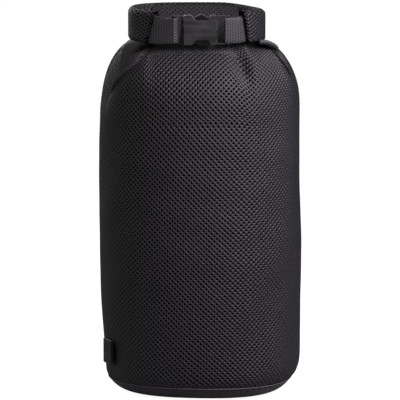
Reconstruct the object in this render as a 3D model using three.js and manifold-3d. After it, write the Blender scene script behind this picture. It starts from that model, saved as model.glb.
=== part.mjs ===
// Mesh stuff sack, filled and standing on its base. A tube of black spacer mesh is sewn to an oval base
// panel. Its mouth is folded flat and rolled outwards, the two ends of the roll are bent round to the front,
// and a side-release buckle on 25 mm webbing clips them into a carrying loop.
// Millimetres, +Z up. The front, with the buckle, faces -Y. The origin is on the floor under the sack's middle.
import * as THREE from 'three';
import { mergeVertices } from 'three/addons/utils/BufferGeometryUtils.js';
import Module from 'manifold-3d';

const wasm = await Module();
wasm.setup();

// Cloth, and the small gap that separate pieces keep.
const CLOTH = 2.5;
const GAP = 0.4;

// Heights of the wall: its seam with the base, where it starts to close in, and the two edges of its neck.
const SEAM_Z = 14;
const SHOULDER_Z = 276;
const NECK_Z = 353.3;
const RIDGE_Z = 380;

// Outline of the wall at some heights. turn is in degrees about Z, and squareness is 2 for an ellipse.
const WALL_SECTIONS = [
  { z: 14, halfWidth: 93.2, halfDepth: 78.6, shiftX: 0.6, turn: -6, squareness: 2.45 },
  { z: 20, halfWidth: 95.8, halfDepth: 81.2, shiftX: 1.8, turn: -6, squareness: 2.4 },
  { z: 30, halfWidth: 97.3, halfDepth: 82.8, shiftX: 2.7, turn: -6, squareness: 2.35 },
  { z: 56, halfWidth: 98.6, halfDepth: 84.5, shiftX: 2.0, turn: -5, squareness: 2.25 },
  { z: 90, halfWidth: 99.9, halfDepth: 86, shiftX: 0.8, turn: -4, squareness: 2.2 },
  { z: 147, halfWidth: 101.0, halfDepth: 87, shiftX: 0.7, turn: -3, squareness: 2.15 },
  { z: 200, halfWidth: 100.2, halfDepth: 86.5, shiftX: -0.5, turn: -2, squareness: 2.15 },
  { z: 245, halfWidth: 99.9, halfDepth: 86, shiftX: -0.6, turn: -1, squareness: 2.15 },
  { z: 276, halfWidth: 99.2, halfDepth: 85.2, shiftX: -0.4, turn: 0, squareness: 2.15 },
];
const WALL_GIRTH = 600;

// The shoulder is a quarter of an oval, an ellipse at the sides and the back and squarer at the front. In the
// front middle it leans back by a power of its height instead, and climbs behind the buckle as a slope. At the
// left end fold the cloth is taut, and runs up almost straight.
const SIDE_ROUNDNESS = 2.07;
const FRONT_ROUNDNESS = 3.8;
const FRONT_LEAN_POWER = 3;
const SHOULDER_CROWDING = 1.5;
const TAUT_ROUNDNESS = 1.7;
const TAUT_WIDTH = 0.04;

// The mouth is folded flat with a fold at each end: how far the folds are from the front middle in turns, where
// they end on the roll's length, and over which shares of the way to the back middle the cloth leaves them.
const END_FOLD_TURN = 0.2;
const END_FOLD_SHARES = { left: 0.08, right: 0.9 };
const END_FOLD_TUCK = { from: 0.02, to: 0.3 };

// The wall's two skins. At the neck the end folds, the front cloth and the back cloth lie at these offsets from
// the ring, drop is how far below the neck's edges they end, and reach is the share of the ring that they fill.
const OUTER_SKIN = { inset: 0, endOffset: 7.5, frontOffset: -2.5, backOffset: 0.5, drop: 0, reach: 1 };
const INNER_SKIN = { inset: CLOTH, endOffset: 4.8, frontOffset: -4, backOffset: -2.2, drop: 6, reach: 0.96 };

// The front cloth climbs to the ridge over these shares of the way from an end fold to the back middle.
const RISE_FROM = 0.52;
const RISE_TO = 0.64;

// Soft folds of the wall. around is in turns from the front middle towards +X, and the fold runs from its
// low end to its high end. Positive depth dents the cloth inwards. A pleat is a ridge beside a valley.
const FOLDS = [
  { lowAround: 0.084, lowZ: 318, highAround: 0.060, highZ: 352, width: 10, depth: 5.5 },
  { lowAround: 0.03, lowZ: 312, highAround: 0.012, highZ: 350, width: 16, depth: -1.2 },
  { lowAround: -0.195, lowZ: 295, highAround: -0.076, highZ: 349, width: 13, depth: 2.6 },
  { lowAround: -0.222, lowZ: 295, highAround: -0.103, highZ: 349, width: 12, depth: -1.3 },
  { lowAround: 0.197, lowZ: 312, highAround: 0.133, highZ: 350, width: 12, depth: 2.2 },
  { lowAround: 0.222, lowZ: 312, highAround: 0.158, highZ: 350, width: 12, depth: -1.0 },
  { lowAround: 0.07, lowZ: 30, highAround: 0.16, highZ: 130, width: 26, depth: 2.0 },
  { lowAround: -0.16, lowZ: 24, highAround: -0.06, highZ: 120, width: 28, depth: 1.6 },
  { lowAround: 0.27, lowZ: 285, highAround: 0.285, highZ: 352, width: 26, depth: -2.4 },
  { lowAround: 0.36, lowZ: 270, highAround: 0.40, highZ: 346, width: 20, depth: 4.0 },
  { lowAround: 0.62, lowZ: 272, highAround: 0.57, highZ: 346, width: 20, depth: 4.0 },
];

// Shares of a fold's length over which it deepens and fades, and the wall's share where the folds end.
const FOLD_FADE = { from: -0.35, full: 0.45, fullTo: 0.8, to: 1.2 };
const FOLDS_END = 1.75;

// Base panel: a dish with a flat middle, whose rounded edge climbs to the seam, where the cloth is drawn in.
const BASE_CORNER = 28;
const SEAM_TUCK = 1.2;
const SEAM_TUCK_HEIGHT = 6;

// Ring of the rolled mouth in plan, at the inner side of the roll, and how far it turns from the back middle.
const RING = { halfWidth: 56.8, halfDepth: 38.5, centreX: -3.2, centreY: -18.5, squareness: 2.8 };
const RING_END_ANGLE = 136.5;

// The ring droops a little round its back right bend. from and to are shares of its length.
const DROOP = { depth: 3, from: 0.6, full: 0.76, fullTo: 0.82, to: 0.94 };

// Section of the roll. Each layer of it is the folded mouth, which is two cloths pressed together.
const ROLL_BOTTOM = 354.2;
const ROLL_TOP = 386;
const ROLL_LAYER = 2.4;

// Webbing, and its height in the roll, where it lies between the outer layer and the core.
const WEBBING_WIDTH = 25;
const WEBBING_THICKNESS = 1.6;
const WEBBING_IN_ROLL = 12;
const ROLL_WEBBING_Z = 369.5;
const WEBBING_SLOPE_FROM = 27;

// Where a strap is guided between the roll and the buckle's bar, in shares of its free length.
const STRAP_BEHIND_BAR = [0.3, 0.6];
const STRAP_OVER_ITSELF = [0.6, 0.3, 0.1];

// Offsets of the roll's layers from the ring, from its inner side outwards.
const ROLL_INNER = OUTER_SKIN.backOffset + GAP + ROLL_LAYER / 2;
const ROLL_CORE = ROLL_INNER + ROLL_LAYER + GAP;
const ROLL_WEBBING = ROLL_CORE + ROLL_LAYER / 2 + GAP + WEBBING_THICKNESS / 2;
const ROLL_OUTER = ROLL_WEBBING + WEBBING_THICKNESS / 2 + GAP + ROLL_LAYER / 2;

// Buckle, drawn in a frame of its own: X along the webbing, Y across it, extruded through its thickness.
const BUCKLE_Y = -63.6;
const BUCKLE_Z = 367.2;
const SOCKET = { left: -16.2, right: 15.7, halfHeight: 14.7, thickness: 9, corner: 2.2, edge: 0.7, wall: 1.7 };
const NOTCH = { left: -8.2, right: 10.6, floorLeft: -3.8, floorRight: 7.6, depth: 4.6 };
const FRAME_THICKNESS = 3.4;
const FRAME_EDGE = 0.4;
const SLOT_HALF_HEIGHT = 12.9;
const SOCKET_FRAME = { left: 14.6, right: 29, halfHeight: 14, slotLeft: 17.4, slotRight: 25.4 };
const PLUG_FRAME = { left: -25.9, right: -16.8, halfHeight: 13.8, slotLeft: -22.7, slotRight: -18.6 };
const PRONG = { start: -17.8, inner: 6.6, outer: 10, end: 9.4, thickness: 4.4, tipLength: 1, tipHeight: 1.6 };
const PAD = { left: -7.6, foot: 1.4, leftHeight: 11.6, peakX: 1.4, peakHeight: 15.9, rightHeight: 11.2 };
const TONGUE = { right: -2, halfHeight: 3, thickness: 3.6 };

// Small folded tab of webbing on the left side, just before the outline, as a loop that hangs down the wall.
const TAB = { lowZ: 30.5, highZ: 55, width: 20, thickness: 1.2, around: 0.825, loopRadius: 0.75, standOff: 0.4 };

// How finely the faceted solids are cut.
const COLUMNS = 70;
const WALL_ROWS = 11;
const WALL_ROW_POWER = 1.25;
const SHOULDER_ROWS = 12;
const BASE_EDGE_ROWS = 5;
const RING_STEPS = 40;
const ARC_STEPS = 6;
const TANGENT_STEP = 0.01;
const MERGE_DISTANCE = 1e-4;

const UP = new THREE.Vector3(0, 0, 1);
const { degToRad, lerp, smoothstep, clamp } = THREE.MathUtils;

// Curves

function ovalPoint(angle, halfWidth, halfDepth, squareness, target) {
  const power = 2 / squareness;
  const rounded = (value) => Math.sign(value) * Math.abs(value) ** power;
  return target.set(halfWidth * rounded(Math.sin(angle)), -halfDepth * rounded(Math.cos(angle)), 0);
}

// Closed oval that starts at the front middle and turns towards +X.
class Oval extends THREE.Curve {
  constructor(halfWidth, halfDepth, squareness) {
    super();
    Object.assign(this, { halfWidth, halfDepth, squareness });
  }

  getPoint(t, target = new THREE.Vector3()) {
    return ovalPoint(2 * Math.PI * t, this.halfWidth, this.halfDepth, this.squareness, target);
  }
}

// The mouth's open ring, from its left end round the back to its right end, moved outwards by offset.
class MouthRing extends THREE.Curve {
  constructor(offset, endAngle = RING_END_ANGLE) {
    super();
    Object.assign(this, { offset, endAngle: degToRad(endAngle) });
  }

  getPoint(t, target = new THREE.Vector3()) {
    const angle = Math.PI - lerp(-this.endAngle, this.endAngle, t);
    ovalPoint(angle, RING.halfWidth + this.offset, RING.halfDepth + this.offset, RING.squareness, target);
    return target.add(new THREE.Vector3(RING.centreX, RING.centreY, 0));
  }

  getNormalAt(t) {
    return new THREE.Vector3().crossVectors(UP, this.getTangentAt(t)).normalize();
  }
}

function ringDroop(share) {
  const begins = smoothstep(share, DROOP.from, DROOP.full);
  return -DROOP.depth * begins * (1 - smoothstep(share, DROOP.fullTo, DROOP.to));
}

function arc(centreX, centreY, radius, fromDegrees, toDegrees) {
  const clockwise = toDegrees < fromDegrees;
  const from = degToRad(fromDegrees);
  const to = degToRad(toDegrees);
  return new THREE.EllipseCurve(centreX, centreY, radius, radius, from, to, clockwise).getPoints(ARC_STEPS);
}

// Solids

// A closed mesh from points and triangles, with its faces turned outwards.
function closedGeometry(points, triangles) {
  let volume = 0;
  for (const [a, b, c] of triangles) {
    volume += points[a].dot(new THREE.Vector3().crossVectors(points[b], points[c]));
  }
  const facing = volume < 0 ? triangles.map(([a, b, c]) => [a, c, b]) : triangles;
  const geometry = new THREE.BufferGeometry().setFromPoints(points);
  geometry.setIndex(facing.flat());
  return geometry;
}

// Triangles between two closed rows of points of equal length, given as lists of point numbers.
function bridge(lower, upper) {
  const triangles = [];
  for (let i = 0; i < lower.length; i++) {
    const j = (i + 1) % lower.length;
    triangles.push([lower[i], lower[j], upper[j]], [lower[i], upper[j], upper[i]]);
  }
  return triangles;
}

// Triangles between two open rows of points of any lengths, which share their first and their last points. Each
// step takes the shorter of the two edges that could come next.
function zip(points, lower, upper) {
  const triangles = [];
  const across = (i, j) => {
    const exists = i < lower.length && j < upper.length;
    return exists ? points[lower[i]].distanceTo(points[upper[j]]) : Infinity;
  };
  let i = 0;
  let j = 0;
  while (i + 1 < lower.length || j + 1 < upper.length) {
    if (across(i + 1, j) <= across(i, j + 1)) {
      triangles.push([lower[i], lower[i + 1], upper[j]]);
      i += 1;
    } else {
      triangles.push([lower[i], upper[j + 1], upper[j]]);
      j += 1;
    }
  }
  return triangles.filter((corners) => new Set(corners).size === 3);
}

// An outline of (offset, height) points carried along a path. at(share) gives the path's point and its normal.
function sweep(outline, steps, at) {
  const points = [];
  const rings = [];
  for (let step = 0; step <= steps; step++) {
    const { point, normal } = at(step / steps);
    rings.push(outline.map((corner) => {
      points.push(point.clone().addScaledVector(normal, corner.x).addScaledVector(UP, corner.y));
      return points.length - 1;
    }));
  }
  const triangles = [];
  for (let step = 0; step < steps; step++) {
    triangles.push(...bridge(rings[step], rings[step + 1]));
  }
  // The caps run against the bridges' edges at both ends.
  const clockwise = THREE.ShapeUtils.isClockWise(outline);
  for (const [a, b, c] of THREE.ShapeUtils.triangulateShape(outline, [])) {
    const [first, last] = [rings[0], rings[steps]];
    triangles.push(clockwise ? [first[a], first[b], first[c]] : [first[a], first[c], first[b]]);
    triangles.push(clockwise ? [last[a], last[c], last[b]] : [last[a], last[b], last[c]]);
  }
  return closedGeometry(points, triangles);
}

// A strip of even thickness along a line of points, as one closed outline.
function ribbon(line, thickness) {
  const left = [];
  const right = [];
  line.forEach((point, i) => {
    const before = line[Math.max(i - 1, 0)];
    const after = line[Math.min(i + 1, line.length - 1)];
    const along = after.clone().sub(before).normalize();
    const across = new THREE.Vector2(-along.y, along.x).multiplyScalar(thickness / 2);
    left.push(point.clone().add(across));
    right.push(point.clone().sub(across));
  });
  return [...left, ...right.reverse()];
}

function toManifold(geometry) {
  const bare = geometry.clone();
  bare.deleteAttribute('normal');
  bare.deleteAttribute('uv');
  const merged = mergeVertices(bare, MERGE_DISTANCE);
  return new wasm.Manifold(new wasm.Mesh({
    numProp: 3,
    vertProperties: new Float32Array(merged.attributes.position.array),
    triVerts: new Uint32Array(merged.index.array),
  }));
}

function fromManifold(solid) {
  const mesh = solid.getMesh();
  const geometry = new THREE.BufferGeometry();
  geometry.setAttribute('position', new THREE.BufferAttribute(mesh.vertProperties, 3));
  geometry.setIndex(new THREE.BufferAttribute(mesh.triVerts, 1));
  return geometry;
}

// Wall and base

function hermite(from, to, slopeFrom, slopeTo, t) {
  const t2 = t * t;
  const t3 = t2 * t;
  const ease = 3 * t2 - 2 * t3;
  return lerp(from, to, ease) + slopeFrom * (t3 - 2 * t2 + t) + slopeTo * (t3 - t2);
}

// Sizes of the wall's outline at a height, smoothly between the rows of the table.
function sectionAt(z) {
  const rows = WALL_SECTIONS;
  const last = rows.length - 1;
  let i = 0;
  while (i < last - 1 && z > rows[i + 1].z) i++;
  const span = rows[i + 1].z - rows[i].z;
  const share = clamp((z - rows[i].z) / span, 0, 1);
  const slope = (row, key) => {
    const [before, after] = [rows[Math.max(row - 1, 0)], rows[Math.min(row + 1, last)]];
    return span * (after[key] - before[key]) / (after.z - before.z);
  };
  const mix = (key) => hermite(rows[i][key], rows[i + 1][key], slope(i, key), slope(i + 1, key), share);
  return Object.fromEntries(Object.keys(rows[0]).map((key) => [key, mix(key)]));
}

// Point of the oval that is the wall's outline at a height, made smaller all round by inset.
function outlinePoint(around, z, inset) {
  const { halfWidth, halfDepth, shiftX, turn, squareness } = sectionAt(z);
  const point = new Oval(halfWidth - inset, halfDepth - inset, squareness).getPointAt(around);
  return point.applyAxisAngle(UP, degToRad(turn)).add(new THREE.Vector3(shiftX, 0, z));
}

// Where the wall ends at the roll. The front part of the cloth runs up to the ridge behind the buckle, and the
// back part ends under the roll. They meet in a fold at each end of the ring.
function neckPoint(around, skin) {
  const turns = around - Math.round(around);
  const front = Math.abs(turns) <= END_FOLD_TURN;
  const fromBack = Math.sign(turns) * 0.5 - turns;
  const fromMiddle = front ? turns / END_FOLD_TURN : fromBack / (0.5 - END_FOLD_TURN);
  const fromEnd = 1 - Math.abs(fromMiddle);
  const rise = front ? smoothstep(fromEnd, RISE_FROM, RISE_TO) : 0;
  const tuck = smoothstep(fromEnd, END_FOLD_TUCK.from, END_FOLD_TUCK.to);
  const offset = lerp(skin.endOffset, front ? skin.frontOffset : skin.backOffset, tuck);
  const endShare = fromMiddle < 0 ? END_FOLD_SHARES.left : END_FOLD_SHARES.right;
  const ringShare = lerp(0.5, endShare, Math.abs(fromMiddle) * skin.reach);
  const point = new MouthRing(offset).getPointAt(ringShare);
  point.z = lerp(NECK_Z, RIDGE_Z, rise) - skin.drop + ringDroop(ringShare);
  return { point, rise };
}

// Inward dent of the folds at a place on the wall.
function foldDepth(around, z) {
  let depth = 0;
  for (const fold of FOLDS) {
    const along = (z - fold.lowZ) / (fold.highZ - fold.lowZ);
    const turns = around - lerp(fold.lowAround, fold.highAround, along);
    const across = (turns - Math.round(turns)) * WALL_GIRTH / fold.width;
    const begins = smoothstep(along, FOLD_FADE.from, FOLD_FADE.full);
    const ends = smoothstep(along, FOLD_FADE.fullTo, FOLD_FADE.to);
    depth += fold.depth * begins * (1 - ends) * Math.exp(-across * across);
  }
  return depth;
}

// Point of the wall. share runs from 0 at the seam to 1 at the shoulder and to 2 at the neck.
function wallPoint(around, share, skin) {
  const z = lerp(SEAM_Z, SHOULDER_Z, Math.min(share, 1));
  const tuck = SEAM_TUCK * Math.max(0, 1 - (z - SEAM_Z) / SEAM_TUCK_HEIGHT) ** 2;
  const point = outlinePoint(around, z, skin.inset + tuck);
  let foldShare = 1;
  if (share > 1) {
    const neck = neckPoint(around, skin);
    const facing = Math.max(0, Math.cos(2 * Math.PI * around)) ** 2;
    const fromFold = (around - Math.round(around) + END_FOLD_TURN) / TAUT_WIDTH;
    const taut = Math.exp(-fromFold * fromFold);
    const power = 2 / lerp(lerp(SIDE_ROUNDNESS, FRONT_ROUNDNESS, facing), TAUT_ROUNDNESS, taut);
    const angle = (1 - (2 - share) ** SHOULDER_CROWDING) * Math.PI / 2;
    const climb = Math.sin(angle) ** power;
    const lean = lerp(1 - Math.cos(angle) ** power, climb ** FRONT_LEAN_POWER, neck.rise);
    point.lerp(neck.point, lean).setZ(lerp(z, neck.point.z, climb));
    foldShare = 1 - smoothstep(share, FOLDS_END, 2);
  }
  const inward = new THREE.Vector3(-point.x, -point.y, 0).normalize();
  return point.addScaledVector(inward, foldShare * foldDepth(around, point.z));
}

// Rows of the wall's share, closer together near the seam.
function wallShares() {
  const shares = [];
  for (let row = 0; row < WALL_ROWS; row++) shares.push((row / WALL_ROWS) ** WALL_ROW_POWER);
  for (let row = 0; row <= SHOULDER_ROWS; row++) shares.push(1 + row / SHOULDER_ROWS);
  return shares;
}

// A cloth shell from its outer and inner rows of points, open along the first row. close gives the triangles
// that shut the last row.
function clothShell(points, outer, inner, close) {
  const skinFaces = (rings) => {
    const faces = [];
    for (let row = 0; row + 1 < rings.length; row++) faces.push(...bridge(rings[row], rings[row + 1]));
    return [...faces, ...close(rings[rings.length - 1])];
  };
  const turned = skinFaces(inner).map(([a, b, c]) => [a, c, b]);
  return closedGeometry(points, [...skinFaces(outer), ...turned, ...bridge(inner[0], outer[0])]);
}

function makeWall() {
  const points = [];
  const skinRows = (skin) => wallShares().map((share) => {
    const ring = [];
    for (let column = 0; column < COLUMNS; column++) {
      ring.push(points.push(wallPoint(column / COLUMNS, share, skin)) - 1);
    }
    return ring;
  });
  // The neck's front part and back part close on each other, from one end fold to the other.
  const closeNeck = (ring) => {
    const reach = Math.round(END_FOLD_TURN * COLUMNS);
    const frontPart = [];
    const backPart = [];
    for (let column = -reach; column <= reach; column++) frontPart.push(ring[(column + COLUMNS) % COLUMNS]);
    for (let column = COLUMNS - reach; column >= reach; column--) backPart.push(ring[column]);
    return zip(points, frontPart, backPart);
  };
  return clothShell(points, skinRows(OUTER_SKIN), skinRows(INNER_SKIN), closeNeck);
}

function makeBase() {
  const seam = sectionAt(SEAM_Z);
  const points = [];
  const ringAt = (halfWidth, halfDepth, z) => {
    const oval = new Oval(halfWidth, halfDepth, seam.squareness);
    const ring = [];
    for (let column = 0; column < COLUMNS; column++) {
      const point = oval.getPointAt(column / COLUMNS).applyAxisAngle(UP, degToRad(seam.turn));
      ring.push(points.push(point.add(new THREE.Vector3(seam.shiftX, 0, z))) - 1);
    }
    return ring;
  };
  const rimZ = SEAM_Z - GAP;
  const skinRows = (inset) => {
    const radius = BASE_CORNER - inset;
    const flatWidth = seam.halfWidth - SEAM_TUCK - Math.sqrt(BASE_CORNER ** 2 - (BASE_CORNER - rimZ) ** 2);
    const flatDepth = flatWidth - seam.halfWidth + seam.halfDepth;
    const rimAngle = Math.acos((BASE_CORNER - rimZ) / radius);
    const rings = [];
    for (let row = BASE_EDGE_ROWS; row >= 0; row--) {
      const angle = rimAngle * row / BASE_EDGE_ROWS;
      const reach = radius * Math.sin(angle);
      rings.push(ringAt(flatWidth + reach, flatDepth + reach, BASE_CORNER - radius * Math.cos(angle)));
    }
    return rings;
  };
  const closeFlat = (ring) => {
    const middle = points.push(new THREE.Vector3(seam.shiftX, 0, points[ring[0]].z)) - 1;
    return ring.map((corner, i) => [corner, ring[(i + 1) % ring.length], middle]);
  };
  return clothShell(points, skinRows(0), skinRows(CLOTH), closeFlat);
}

// Rolled mouth: the folded cloth comes up the inner side, turns over, goes down the outer side and in.
function makeRoll() {
  const topRadius = (ROLL_OUTER - ROLL_INNER) / 2;
  const lowRadius = (ROLL_OUTER - ROLL_CORE) / 2;
  const topZ = ROLL_TOP - ROLL_LAYER / 2 - topRadius;
  const lowZ = ROLL_BOTTOM + ROLL_LAYER / 2 + lowRadius;
  const line = [
    new THREE.Vector2(ROLL_INNER, ROLL_BOTTOM),
    ...arc(ROLL_INNER + topRadius, topZ, topRadius, 180, 0),
    ...arc(ROLL_CORE + lowRadius, lowZ, lowRadius, 0, -180),
    new THREE.Vector2(ROLL_CORE, topZ),
  ];
  const ring = new MouthRing(0);
  const at = (share) => ({ point: ring.getPointAt(share).setZ(ringDroop(share)), normal: ring.getNormalAt(share) });
  return sweep(ribbon(line, ROLL_LAYER), RING_STEPS, at);
}

// Webbing strap, drawn in plan: it leaves the roll's end, passes behind the buckle's bar, turns round the bar
// and comes back over itself. side is -1 for the left strap and +1 for the right one.
function makeStrap(side, frame) {
  const ring = new MouthRing(0, 180);
  const rollEnd = new MouthRing(0).getLength() / 2;
  const ringAt = (pastEnd, layer) => {
    const share = 0.5 + side * (rollEnd + pastEnd) / ring.getLength();
    const point = ring.getPointAt(share).addScaledVector(ring.getNormalAt(share), ROLL_WEBBING + layer);
    return new THREE.Vector2(point.x, point.y);
  };
  const barEnds = side < 0 ? [frame.left, frame.slotLeft] : [frame.slotRight, frame.right];
  const barX = (barEnds[0] + barEnds[1]) / 2;
  const barRadius = Math.hypot(barEnds[1] - barEnds[0], FRAME_THICKNESS) / 2;
  const wrap = barRadius + GAP + WEBBING_THICKNESS / 2;
  const free = Math.abs(ringAt(0, 0).x) - Math.abs(barX) - barRadius;
  const inRoll = [-WEBBING_IN_ROLL, -WEBBING_IN_ROLL / 2, 0].map((pastEnd) => ringAt(pastEnd, 0));
  const behind = STRAP_BEHIND_BAR.map((share) => ringAt(share * free, 0));
  const over = STRAP_OVER_ITSELF.map((share) => ringAt(share * free, WEBBING_THICKNESS + GAP));
  const line = [...inRoll, ...behind, ...arc(barX, BUCKLE_Y, wrap, 90, 90 + side * 180), ...over];
  const strip = new THREE.Shape(ribbon(line, WEBBING_THICKNESS));
  const geometry = new THREE.ExtrudeGeometry(strip, { depth: WEBBING_WIDTH, bevelEnabled: false });
  // The strap climbs a little from the buckle to the roll.
  const reach = Math.abs(ringAt(0, 0).x) - WEBBING_SLOPE_FROM;
  const corners = geometry.attributes.position;
  for (let i = 0; i < corners.count; i++) {
    const climb = clamp((Math.abs(corners.getX(i)) - WEBBING_SLOPE_FROM) / reach, 0, 1);
    corners.setZ(i, corners.getZ(i) - WEBBING_WIDTH / 2 + lerp(BUCKLE_Z, ROLL_WEBBING_Z, climb));
  }
  return geometry;
}

// Buckle

// A flat shape through the buckle's thickness, with its edges bevelled, turned to stand in the buckle's place.
function plate(shape, thickness, edge) {
  const geometry = new THREE.ExtrudeGeometry(shape, {
    depth: thickness - 2 * edge,
    bevelEnabled: edge > 0,
    bevelThickness: edge,
    bevelSize: edge,
    bevelOffset: -edge,
    bevelSegments: 1,
    curveSegments: 3,
  });
  geometry.translate(0, 0, edge - thickness / 2);
  geometry.rotateX(Math.PI / 2);
  geometry.translate(0, BUCKLE_Y, BUCKLE_Z);
  return toManifold(geometry);
}

function rectangle(left, right, halfHeight) {
  const shape = new THREE.Shape();
  shape.moveTo(left, -halfHeight);
  shape.lineTo(right, -halfHeight);
  shape.lineTo(right, halfHeight);
  shape.lineTo(left, halfHeight);
  shape.closePath();
  return shape;
}

// Frame with a slot that leaves a bar for the webbing.
function barFrame(frame) {
  const outline = plate(rectangle(frame.left, frame.right, frame.halfHeight), FRAME_THICKNESS, FRAME_EDGE);
  const slot = plate(rectangle(frame.slotLeft, frame.slotRight, SLOT_HALF_HEIGHT), 2 * FRAME_THICKNESS, 0);
  return outline.subtract(slot);
}

// Socket's outline: a rounded box with a notch in its upper and its lower edge.
function socketShape() {
  const { left, right, halfHeight, corner } = SOCKET;
  const shape = new THREE.Shape();
  shape.moveTo(left, -halfHeight + corner);
  shape.quadraticCurveTo(left, -halfHeight, left + corner, -halfHeight);
  shape.lineTo(NOTCH.left, -halfHeight);
  shape.lineTo(NOTCH.floorLeft, -halfHeight + NOTCH.depth);
  shape.lineTo(NOTCH.floorRight, -halfHeight + NOTCH.depth);
  shape.lineTo(NOTCH.right, -halfHeight);
  shape.lineTo(right - corner, -halfHeight);
  shape.quadraticCurveTo(right, -halfHeight, right, -halfHeight + corner);
  shape.lineTo(right, halfHeight - corner);
  shape.quadraticCurveTo(right, halfHeight, right - corner, halfHeight);
  shape.lineTo(NOTCH.right, halfHeight);
  shape.lineTo(NOTCH.floorRight, halfHeight - NOTCH.depth);
  shape.lineTo(NOTCH.floorLeft, halfHeight - NOTCH.depth);
  shape.lineTo(NOTCH.left, halfHeight);
  shape.lineTo(left + corner, halfHeight);
  shape.quadraticCurveTo(left, halfHeight, left, halfHeight - corner);
  shape.closePath();
  return shape;
}

function makeSocket() {
  const { left, right, halfHeight, thickness, edge, wall } = SOCKET;
  const body = plate(socketShape(), thickness, edge);
  const hollow = plate(rectangle(left - wall, right - wall, halfHeight - wall), thickness - 2 * wall, 0);
  return fromManifold(body.subtract(hollow).add(barFrame(SOCKET_FRAME)));
}

// One prong of the plug: an arm with a finger pad that fills the socket's notch. side is +1 above, -1 below.
function prongShape(side) {
  const corners = [
    [PRONG.start, PRONG.inner],
    [PRONG.end - PRONG.tipLength, PRONG.inner],
    [PRONG.end, PRONG.inner + PRONG.tipHeight],
    [PRONG.end, PAD.rightHeight],
    [PAD.peakX, PAD.peakHeight],
    [PAD.left, PAD.leftHeight],
    [PAD.left - PAD.foot, PRONG.outer],
    [PRONG.start, PRONG.outer],
  ].map(([x, height]) => new THREE.Vector2(x, side * height));
  return new THREE.Shape(corners);
}

function makePlug() {
  const tongue = plate(rectangle(PRONG.start, TONGUE.right, TONGUE.halfHeight), TONGUE.thickness, FRAME_EDGE);
  const prongs = [-1, 1].map((side) => plate(prongShape(side), PRONG.thickness, FRAME_EDGE));
  return fromManifold(prongs.reduce((solid, prong) => solid.add(prong), barFrame(PLUG_FRAME).add(tongue)));
}

// Side tab: webbing that hangs down the wall and turns up over itself.
function makeTab() {
  const middle = outlinePoint(TAB.around, TAB.highZ, 0);
  const before = outlinePoint(TAB.around - TANGENT_STEP, TAB.highZ, 0);
  const along = outlinePoint(TAB.around + TANGENT_STEP, TAB.highZ, 0).sub(before).normalize();
  const outwards = new THREE.Vector3().crossVectors(along, UP);
  const innerLayer = TAB.standOff + TAB.thickness / 2;
  const line = [
    new THREE.Vector2(innerLayer, TAB.highZ),
    ...arc(innerLayer + TAB.loopRadius, TAB.lowZ + TAB.loopRadius + TAB.thickness / 2, TAB.loopRadius, -180, 0),
    new THREE.Vector2(innerLayer + 2 * TAB.loopRadius, TAB.highZ),
  ];
  middle.z = 0;
  const at = (share) => ({
    point: middle.clone().addScaledVector(along, (share - 0.5) * TAB.width),
    normal: outwards,
  });
  return sweep(ribbon(line, TAB.thickness), 1, at);
}

// Assembly

const MESH_CLOTH = { color: 0x1b1a1d, roughness: 0.9, metalness: 0 };
const BASE_CLOTH = { color: 0x18171b, roughness: 0.85, metalness: 0 };
const WEBBING = { color: 0x262427, roughness: 0.8, metalness: 0 };
const BUCKLE_PLASTIC = { color: 0x1f1f21, roughness: 0.45, metalness: 0 };

const sack = new THREE.Group();
sack.name = 'mesh_stuff_sack';

function addPiece(name, geometry, look) {
  const mesh = new THREE.Mesh(geometry, new THREE.MeshStandardMaterial(look));
  mesh.name = name;
  sack.add(mesh);
}

addPiece('body_wall', makeWall(), MESH_CLOTH);
addPiece('base_panel', makeBase(), BASE_CLOTH);
addPiece('rolled_mouth', makeRoll(), MESH_CLOTH);
addPiece('strap_left', makeStrap(-1, PLUG_FRAME), WEBBING);
addPiece('strap_right', makeStrap(1, SOCKET_FRAME), WEBBING);
addPiece('buckle_socket', makeSocket(), BUCKLE_PLASTIC);
addPiece('buckle_plug', makePlug(), BUCKLE_PLASTIC);
addPiece('side_tab', makeTab(), WEBBING);

export default sack;
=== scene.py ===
import math
from collections import namedtuple

import bmesh
import bpy
import numpy as np
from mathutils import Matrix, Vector


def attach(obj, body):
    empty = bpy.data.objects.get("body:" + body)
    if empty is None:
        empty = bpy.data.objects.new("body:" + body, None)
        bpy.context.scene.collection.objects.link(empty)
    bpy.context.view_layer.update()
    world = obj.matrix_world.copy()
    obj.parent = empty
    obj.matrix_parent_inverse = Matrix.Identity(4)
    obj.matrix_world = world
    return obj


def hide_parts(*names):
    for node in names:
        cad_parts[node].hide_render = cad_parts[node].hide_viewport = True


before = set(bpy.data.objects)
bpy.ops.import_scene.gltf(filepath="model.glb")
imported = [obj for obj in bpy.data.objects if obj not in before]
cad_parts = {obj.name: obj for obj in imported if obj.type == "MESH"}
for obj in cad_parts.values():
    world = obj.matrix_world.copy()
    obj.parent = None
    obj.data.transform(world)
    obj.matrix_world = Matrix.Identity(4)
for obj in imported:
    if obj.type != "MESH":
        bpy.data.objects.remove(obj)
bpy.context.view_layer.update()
scene = bpy.context.scene

# Mesh stuff sack. Shapes are worked out in millimetres and become metres when a mesh is made.
MM = 0.001
UP = np.array((0.0, 0.0, 1.0))

# Camera, in metres: a long lens in front of the sack and a little above it
IMAGE_PIXELS = 400
FOCAL_PIXELS = 3243
CAMERA_PLACE = Vector((0, -3.2, 0.70))
CAMERA_TARGET = Vector((0, 0, 0.19))

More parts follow.
